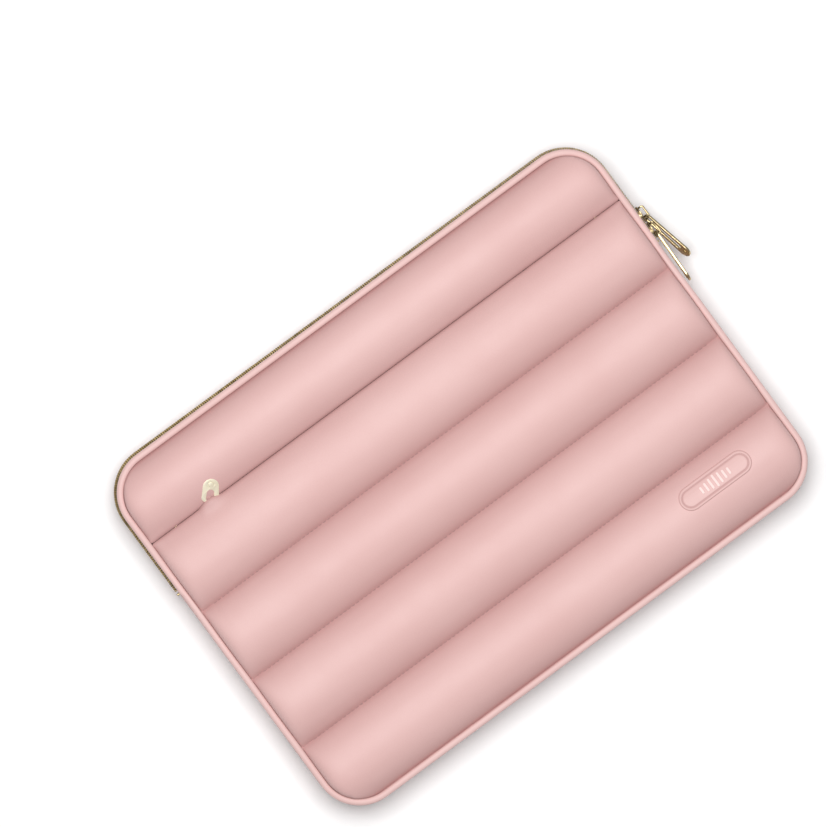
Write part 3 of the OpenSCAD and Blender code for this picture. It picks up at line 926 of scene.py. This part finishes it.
def makeTeeth(name, source, front):
    low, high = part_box(source)
    path, length = zipPath(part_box("zip_teeth_back")[0].y + 0.4 * mm)
    outward = high.x - outline["halfWide"]
    inward = 1.0 * mm
    pitch, thick = teeth["pitch"], teeth["thick"]
    meetZ, farZ = (low.z, high.z) if front else (high.z, low.z)
    toMeet = 1 if meetZ > farZ else -1
    pickNothing()
    bpy.ops.mesh.primitive_cube_add(size=1, location=(thick, (inward - outward) / 2, (low.z + high.z) / 2))
    tooth = bpy.context.object
    tooth.scale = (thick, outward + inward, high.z - low.z)
    settle(tooth, name)
    editPoints(tooth, lambda co: (co[:, 2] - meetZ) * toMeet > -0.1 * mm)
    bpy.ops.transform.resize(value=(0.72, 0.8, 1), center_override=(thick, (inward - outward) / 2, meetZ))
    bpy.ops.mesh.extrude_region_move(TRANSFORM_OT_translate={"value": (0, 0, toMeet * teeth["head"])})
    bpy.ops.transform.resize(value=(0.55, 0.6, 1), center_override=(thick, (inward - outward) / 2, meetZ))
    leaveEdit()
    editPoints(tooth, lambda co: (co[:, 2] - farZ) * toMeet < 0.1 * mm)
    bpy.ops.transform.resize(value=(1, 0.9, 1), center_override=(thick, 0, farZ))
    leaveEdit()
    bevelEdges(tooth, 0.16 * mm, 1, 25)
    count = int((length - thick) / pitch)
    shift = pitch / 2 if front else 0.0
    co = points(tooth)
    co[:, 0] += shift
    movePoints(tooth, co)
    repeatAlongX(tooth, count, pitch)
    addAndApply(tooth, "CURVE", object=path, deform_axis="POS_X")
    bpy.data.objects.remove(path)
    settle(tooth)
    smoothFaces(tooth, 30)
    return wear(tooth, teethGold)


teethBack = makeTeeth("zipTeethBack", "zip_teeth_back", False)
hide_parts("zip_teeth_back")
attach(teethBack, "sleeve")
teethFront = makeTeeth("zipTeethFront", "zip_teeth_front_top", True)
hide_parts("zip_teeth_front_top", "zip_teeth_front_sides")
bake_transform(teethFront)
print("teeth made")


# Metal pieces keep their working shape and get softened edges.

metalEdges = {"mergeWithin": 0.002 * mm, "flatWithin": 2, "sharpFrom": 32, "segments": 2}


def refineMetal(name, source, body, width, finish):
    piece = bpy.data.objects.new(name, nodes[source].data.copy())
    bpy.context.collection.objects.link(piece)
    piece.data.name = name
    editPoints(piece)
    bpy.ops.mesh.remove_doubles(threshold=metalEdges["mergeWithin"])
    bpy.ops.mesh.select_all(action="SELECT")
    bpy.ops.mesh.dissolve_limited(angle_limit=math.radians(metalEdges["flatWithin"]))
    leaveEdit()
    bevelEdges(piece, width, metalEdges["segments"], metalEdges["sharpFrom"])
    smoothFaces(piece, metalEdges["sharpFrom"])
    wear(piece, finish)
    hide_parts(source)
    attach(piece, body)
    return piece


for name, source, body, width, finish, slotName in (
    ("sliderUpper", "slider_upper", "upper_slider", 0.3, sliderGold, "zip_metal"),
    ("sliderLower", "slider_lower", "lower_slider", 0.3, sliderGold, "zip_metal"),
    ("zipEndStops", "zip_end_stops", "sleeve", 0.2, sliderGold, "zip_metal"),
    ("pullUpper", "pull_upper", "upper_pull", 0.28, pullGold, "zip_metal"),
    ("pullLower", "pull_lower", "lower_pull", 0.28, pullGold, "zip_metal"),
    ("pullUpperRivet", "pull_upper_rivet", "upper_pull", 0.12, pullGold, "zip_metal"),
    ("pullLowerRivet", "pull_lower_rivet", "lower_pull", 0.12, pullGold, "zip_metal"),
    ("pocketSlider", "pocket_slider", "pocket_slider_body", 0.12, pocketGold, "pocket_metal"),
    ("pocketPull", "pocket_pull", "pocket_pull_body", 0.26, pocketGold, "pocket_metal"),
    ("pocketPullRivet", "pocket_pull_rivet", "pocket_pull_body", 0.12, pocketGold, "pocket_metal"),
    ("pocketStops", "pocket_zip_stops", "mouth_flap", 0.15, sliderGold, "pocket_metal"),
):
    refineMetal(name, source, body, width * mm, finish)
crown = {"from": outline["halfWide"] + 2.2 * mm, "thicken": 0.2 * mm}
for name in ("sliderUpper", "sliderLower"):
    editPoints(bpy.data.objects[name], lambda co: co[:, 0] > crown["from"])
    bpy.ops.transform.shrink_fatten(value=crown["thicken"])
    leaveEdit(False)


# the pocket's pull lies on the top roll, turned along the seam
hairpin = {
    "slope": 24, "turn": 54, "pivotHigh": 33.0 * mm, "reach": 9 * mm, "spread": 0.42,
    "crownAbove": 33.6 * mm, "crownDrop": 0.7 * mm,
}


def spreadArms(piece, place):
    # the hairpin's arms part a little towards its bar
    slope = Matrix.Rotation(math.radians(hairpin["slope"]), 3, "X")
    turned = slope @ Matrix.Rotation(math.radians(hairpin["turn"]), 3, "Z")
    axes, reach = np.array(turned), hairpin["reach"]
    local = (points(piece) - np.array(place)) @ axes
    local[:, 1] *= 1 + hairpin["spread"] * np.clip((reach - local[:, 0]) / reach, 0, 1)
    movePoints(piece, local @ axes.T + np.array(place))


def lowerCrown(piece, above, drop):
    co = points(piece)
    co[:, 2] -= drop * np.clip((co[:, 2] - above) / drop, 0, 1)
    movePoints(piece, co)


pivot = Vector(((sliderLow.x + sliderHigh.x) / 2, pocketSeamY, hairpin["pivotHigh"]))
spreadArms(bpy.data.objects["pocketPull"], pivot)
lowerCrown(bpy.data.objects["pocketSlider"], hairpin["crownAbove"], hairpin["crownDrop"])
print("metal pieces made")


# The pocket's zip, under the first seam.

coil = {"pitch": 1.2 * mm, "wire": 0.2 * mm}


def makeCoil(name, low, high):
    pickNothing()
    count = int((high.x - low.x) / coil["pitch"])
    centre = (low.x + coil["pitch"] / 2, (low.y + high.y) / 2, (low.z + high.z) / 2)
    bpy.ops.mesh.primitive_torus_add(
        major_segments=9, minor_segments=4, major_radius=0.5, minor_radius=0.14, rotation=(0, math.pi / 2, 0)
    )
    loop = settle(bpy.context.object, name)
    co = points(loop)
    co = co / np.abs(co).max(axis=0)
    size = np.array([coil["wire"], (high.y - low.y) / 2, (high.z - low.z) / 2])
    movePoints(loop, co * size + np.array([0.28 * mm, 0, 0]) * co[:, 1:2] + np.array(centre))
    repeatAlongX(loop, count, coil["pitch"])
    smoothFaces(loop)
    return loop


coilLow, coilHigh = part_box("pocket_zip_coils")
coilWide = 0.9 * mm
lowerCoil = makeCoil("lower", coilLow, Vector((coilHigh.x, coilLow.y + coilWide, coilHigh.z)))
upperCoil = makeCoil("upper", Vector((coilLow.x, coilHigh.y - coilWide, coilLow.z)), coilHigh)
coils = wear(joinPieces([lowerCoil, upperCoil], "pocketCoils"), pocketGold)
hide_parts("pocket_zip_coils")
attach(coils, "mouth_flap")


def flatStrip(name, low, high, rounding=0.1 * mm):
    pickNothing()
    bpy.ops.mesh.primitive_cube_add(size=1, location=(low + high) / 2)
    strip = bpy.context.object
    strip.scale = high - low
    settle(strip, name)
    addAndApply(strip, "BEVEL", width=rounding, segments=2)
    smoothFaces(strip, 40)
    return strip


tapesLow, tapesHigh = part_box("pocket_zip_tapes")
edgeWide = coilLow.y - tapesLow.y
stripWide = edgeWide - 0.1 * mm
lowerTape = flatStrip("lower", tapesLow, Vector((tapesHigh.x, tapesLow.y + stripWide, tapesHigh.z)))
upperTape = flatStrip("upper", Vector((tapesLow.x, tapesHigh.y - stripWide, tapesLow.z)), tapesHigh)
pocketTapes = wear(joinPieces([lowerTape, upperTape], "pocketTapes"), flatTape)
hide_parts("pocket_zip_tapes")
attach(pocketTapes, "mouth_flap")


# Flat layers inside: linings, foam and the pocket's facing.

def makeLayer(name, low, high, inner, finish, highY=None, wavy=0.0):
    layer = outlinePlate(inner, low, corners=10)
    editPoints(layer)
    bpy.ops.mesh.extrude_region_move(TRANSFORM_OT_translate={"value": (0, 0, high - low)})
    leaveEdit()
    settle(layer, name)
    if highY is not None:
        cutAway(layer, highY, False)
    addCuts(layer, np.arange(-100, 101, 20) * mm)
    addCuts(layer, np.arange(-140, 141, 20) * mm, axis=0)
    if wavy:
        co = points(layer)
        away = np.clip((inset(co) - inner) / (8 * mm), 0, 1)
        co[:, 2] += wavy * away * np.sin(co[:, 0] * 61 + 2 * np.sin(co[:, 1] * 47)) * np.sin(co[:, 1] * 53)
        movePoints(layer, co)
    smoothFaces(layer, 40)
    return wear(layer, finish)


layerInset = 5.8 * mm


def layerOf(name, source, finish, highY=None, wavy=0.0):
    low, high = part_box(source)
    return makeLayer(name, low.z, high.z, layerInset, finish, highY=highY, wavy=wavy)


backFoam = layerOf("backFoam", "back_foam", foamGrey)
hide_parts("back_foam")
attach(backFoam, "sleeve")
backLining = layerOf("backLining", "back_lining", liningCloth, wavy=0.05 * mm)
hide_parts("back_lining")
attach(backLining, "sleeve")

frontFoam = layerOf("frontFoam", "front_foam_lower", foamGrey)
addCuts(frontFoam, bendLines())
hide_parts("front_foam_lower", "front_foam_top")
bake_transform(frontFoam)
frontLining = layerOf("frontLining", "front_lining_lower", liningCloth, wavy=0.05 * mm)
addCuts(frontLining, bendLines())
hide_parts("front_lining_lower", "front_lining_top")
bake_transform(frontLining)

pocketLining = layerOf("pocketLining", "pocket_lining", liningCloth, highY=outline["foldY"])
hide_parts("pocket_lining")
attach(pocketLining, "sleeve")
facing = flatStrip("pocketFacing", *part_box("pocket_zip_facing"), rounding=0.08 * mm)
wear(facing, flatTape)
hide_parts("pocket_zip_facing")
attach(facing, "sleeve")
print("inner layers made")


# The patch, wrapped onto the lowest roll.

patch = {
    "thick": 0.55 * mm, "rimWide": 0.9 * mm, "rimRise": 0.22 * mm, "grooveAt": 2.1 * mm,
    "grooveWide": 0.42 * mm, "grooveDeep": 0.3 * mm, "barRise": 0.5 * mm,
}


def onRoll(piece, offset):
    addAndApply(
        piece, "SHRINKWRAP", target=pocketPanel, wrap_method="PROJECT", use_project_z=True,
        use_negative_direction=True, use_positive_direction=False, offset=offset,
    )


def stadiumInset(co, centre, halfLong, radius):
    u = np.maximum(np.abs(co[:, 0] - centre.x) - (halfLong - radius), 0)
    return radius - np.hypot(u, co[:, 1] - centre.y)


def makePatch():
    low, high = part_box("name_patch")
    centre, halfLong, radius = (low + high) / 2, (high.x - low.x) / 2, (high.y - low.y) / 2
    pickNothing()
    bpy.ops.mesh.primitive_grid_add(x_subdivisions=150, y_subdivisions=48, size=2)
    piece = settle(bpy.context.object, "patch")
    co = points(piece)
    co = roundCorners(co * np.array([halfLong, radius, 1]), halfLong, radius, radius, True, True)
    co += np.array([centre.x, centre.y, high.z + 8 * mm])
    movePoints(piece, co)
    onRoll(piece, 0.05 * mm)
    co = points(piece)
    depth = stadiumInset(co, centre, halfLong, radius)
    rim = np.clip(1 - np.abs(depth - patch["rimWide"]) / patch["rimWide"], 0, 1) ** 0.5
    groove = np.exp(-(((depth - patch["grooveAt"]) / patch["grooveWide"]) ** 2))
    co[:, 2] += patch["thick"] * np.clip(depth / (0.5 * mm), 0, 1) ** 0.5
    co[:, 2] += patch["rimRise"] * rim - patch["grooveDeep"] * groove
    movePoints(piece, co)
    addAndApply(piece, "SOLIDIFY", thickness=0.3 * mm, offset=-1)
    # painted shade: darker colour in the groove and along the patch's edge
    mark = piece.data.attributes.new("paintedShade", "FLOAT", "POINT")
    co = points(piece)
    depth = stadiumInset(co, centre, halfLong, radius)
    lines = np.exp(-(((depth - patch["grooveAt"]) / (0.4 * mm)) ** 2))
    lines += 0.3 * np.exp(-(depth / (0.3 * mm)) ** 2)
    mark.data.foreach_set("value", np.clip(lines, 0, 1).astype(np.float32))
    smoothFaces(piece, 60)
    wear(piece, patchLeather)
    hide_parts("name_patch")
    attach(piece, "sleeve")
    return piece


def makeBars():
    low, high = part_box("patch_bars")
    centre, step = (low + high) / 2, 3.2 * mm
    bars = []
    for i in range(7):
        off = i - 3
        half = (4 - 0.6 * abs(off)) * mm
        pickNothing()
        bpy.ops.mesh.primitive_grid_add(x_subdivisions=4, y_subdivisions=14, size=2)
        bar = settle(bpy.context.object, f"bar{i}")
        co = roundCorners(points(bar) * np.array([0.7 * mm, half, 1]), 0.7 * mm, half, 0.7 * mm, True, True)
        co += np.array([centre.x + off * step, centre.y, high.z + 8 * mm])
        movePoints(bar, co)
        onRoll(bar, 0.05 * mm + patch["thick"] - 0.1 * mm)
        addAndApply(bar, "SOLIDIFY", thickness=patch["barRise"], offset=1)
        bevelEdges(bar, 0.12 * mm, 2, 50)
        bars.append(bar)
    piece = joinPieces(bars, "patchBars")
    smoothFaces(piece, 40)
    wear(piece, barFoil)
    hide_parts("patch_bars")
    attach(piece, "sleeve")
    return piece


makePatch()
makeBars()
print("patch made")


# Floor, light and camera.

studio = {
    "floor": (0.96, 0.96, 0.96), "sky": 0.22, "key": 38.0, "keyPlace": (0, 0.28, 1.9), "keySize": 1.1,
    "cameraFar": 4.5, "lean": (-0.045, 0.045, 1), "frameWide": 475.5 * mm, "turn": -36.35,
    "aimRight": -28.8 * mm, "aimUp": 36.7 * mm, "aimHigh": 33 * mm, "sensor": 36,
}
pickNothing()
bpy.ops.mesh.primitive_plane_add(size=8, location=(0, 0, backLow.z - 0.2 * mm))
floor = settle(bpy.context.object, "floor")
editPoints(floor)
bpy.ops.mesh.subdivide(number_cuts=4)
leaveEdit(False)
floorFinish, tree, shader, place = newFinish("paleFloor")
cloud = useGroup(tree, handling, {"Place": place.outputs["Object"], "Scale": 3.0})
marked = [c * 0.99 for c in studio["floor"]]
floorColour = blendColours(tree, cloud.outputs["Marks"], studio["floor"], marked)
tree.links.new(floorColour, shader.inputs["Base Color"])
shader.inputs["Roughness"].default_value = 0.85
floor.data.materials.append(floorFinish)

bpy.context.scene.view_settings.view_transform = "Standard"
world = bpy.context.scene.world or bpy.data.worlds.new("studio")
bpy.context.scene.world = world
world.use_nodes = True
world.node_tree.nodes["Background"].inputs[0].default_value = (1, 1, 1, 1)
world.node_tree.nodes["Background"].inputs[1].default_value = studio["sky"]
pickNothing()
bpy.ops.object.light_add(type="AREA", location=studio["keyPlace"])
keyLight = bpy.context.object
keyLight.name = "keyLight"
keyLight.data.energy = studio["key"]
keyLight.data.size = studio["keySize"]
keyLight.visible_camera = False
keyLight.rotation_euler = (Vector(studio["keyPlace"]) * -1).to_track_quat("-Z", "Y").to_euler()

turn = math.radians(studio["turn"])
right = Vector((math.cos(turn), math.sin(turn), 0))
up = Vector((-math.sin(turn), math.cos(turn), 0))
aim = studio["aimRight"] * right + studio["aimUp"] * up + Vector((0, 0, studio["aimHigh"]))
back = Vector(studio["lean"]).normalized()
upAxis = back.cross(right).normalized()
axes = Matrix((upAxis.cross(back), upAxis, back)).transposed()
bpy.ops.object.camera_add(location=aim + back * studio["cameraFar"], rotation=axes.to_euler())
camera = bpy.context.object
camera.data.sensor_width = studio["sensor"]
camera.data.lens = studio["sensor"] * studio["cameraFar"] / studio["frameWide"]
bpy.context.scene.camera = camera
print("studio set")
